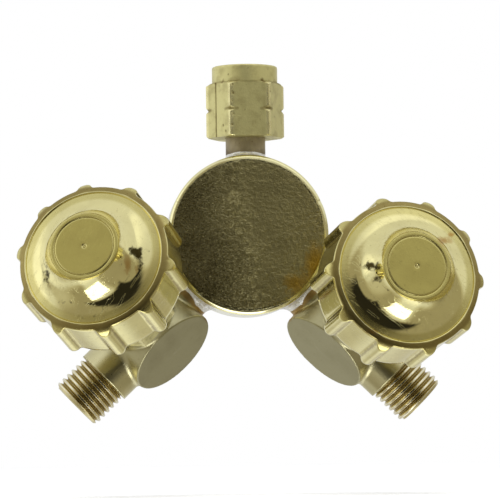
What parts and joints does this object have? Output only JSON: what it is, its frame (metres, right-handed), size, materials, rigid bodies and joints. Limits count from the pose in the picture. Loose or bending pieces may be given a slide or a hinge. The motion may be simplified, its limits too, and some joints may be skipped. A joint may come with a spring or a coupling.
{
  "type": "y hose adapter",
  "caption": "Brass Y connection that splits one gas supply into a pair of hose outlets, each with its own shut-off needle valve and lobed handwheel, under a swivel inlet nut.",
  "frame": {"origin": "centre of the hub's flat back face", "axes": "+Z along the inlet, out of the nut's mouth; -Y to the front, where the handwheels are; +X to the right seen from the front"},
  "size_m": [0.1138, 0.075, 0.091],
  "materials": {
    "hub_brass": "fine cast skin on the face, polished rim",
    "turned_brass": "turned satin",
    "forged_brass": "forged and milled, matte",
    "polished_brass": "polished flank with a satin boss",
    "braze_alloy": "silver braze, bright with flux stains",
    "steel_ball": "ground",
    "ptfe": "plain"
  },
  "bodies": {
    "fitting": {"hub": "hub_brass", "inlet_nipple": "turned_brass", "inlet_braze": "braze_alloy", "left_braze": "braze_alloy", "left_valve_body": "forged_brass", "left_packing_washer": "turned_brass", "left_packing_ring": "ptfe", "left_gland": "turned_brass", "left_packing_nut": "turned_brass", "right_braze": "braze_alloy", "right_valve_body": "forged_brass", "right_packing_washer": "turned_brass", "right_packing_ring": "ptfe", "right_gland": "turned_brass", "right_packing_nut": "turned_brass"},
    "nut": {"inlet_nut": "turned_brass"},
    "left_ball": {"left_stem_ball": "steel_ball"},
    "left_spindle": {"left_valve_stem": "turned_brass", "left_handwheel": "polished_brass"},
    "right_ball": {"right_stem_ball": "steel_ball"},
    "right_spindle": {"right_valve_stem": "turned_brass", "right_handwheel": "polished_brass"}
  },
  "joints": [
    {"name": "inlet_nut_swivel", "type": "hinge", "parent": "fitting", "child": "nut", "pos_m": [0, -0.008, 0], "axis": [0, 0, 1], "continuous": true},
    {"name": "left_lift", "type": "slide", "parent": "fitting", "child": "left_ball", "axis": [-0.2936, -0.9063, 0.304], "range_m": [0, 0.00265]},
    {"name": "left_turn", "type": "hinge", "parent": "left_ball", "child": "left_spindle", "pos_m": [-0.02482, -0.008, -0.02397], "axis": [-0.2936, -0.9063, 0.304], "range_deg": [0, 900]},
    {"name": "right_lift", "type": "slide", "parent": "fitting", "child": "right_ball", "axis": [0.2031, -0.9563, 0.2103], "range_m": [0, 0.00265]},
    {"name": "right_turn", "type": "hinge", "parent": "right_ball", "child": "right_spindle", "pos_m": [0.02482, -0.008, -0.02397], "axis": [0.2031, -0.9563, 0.2103], "range_deg": [0, 900]}
  ],
  "couplings": [
    {"joint": "left_turn", "follows": "left_lift", "rad_per_m": 5936.9},
    {"joint": "right_turn", "follows": "right_lift", "rad_per_m": 5936.9}
  ]
}
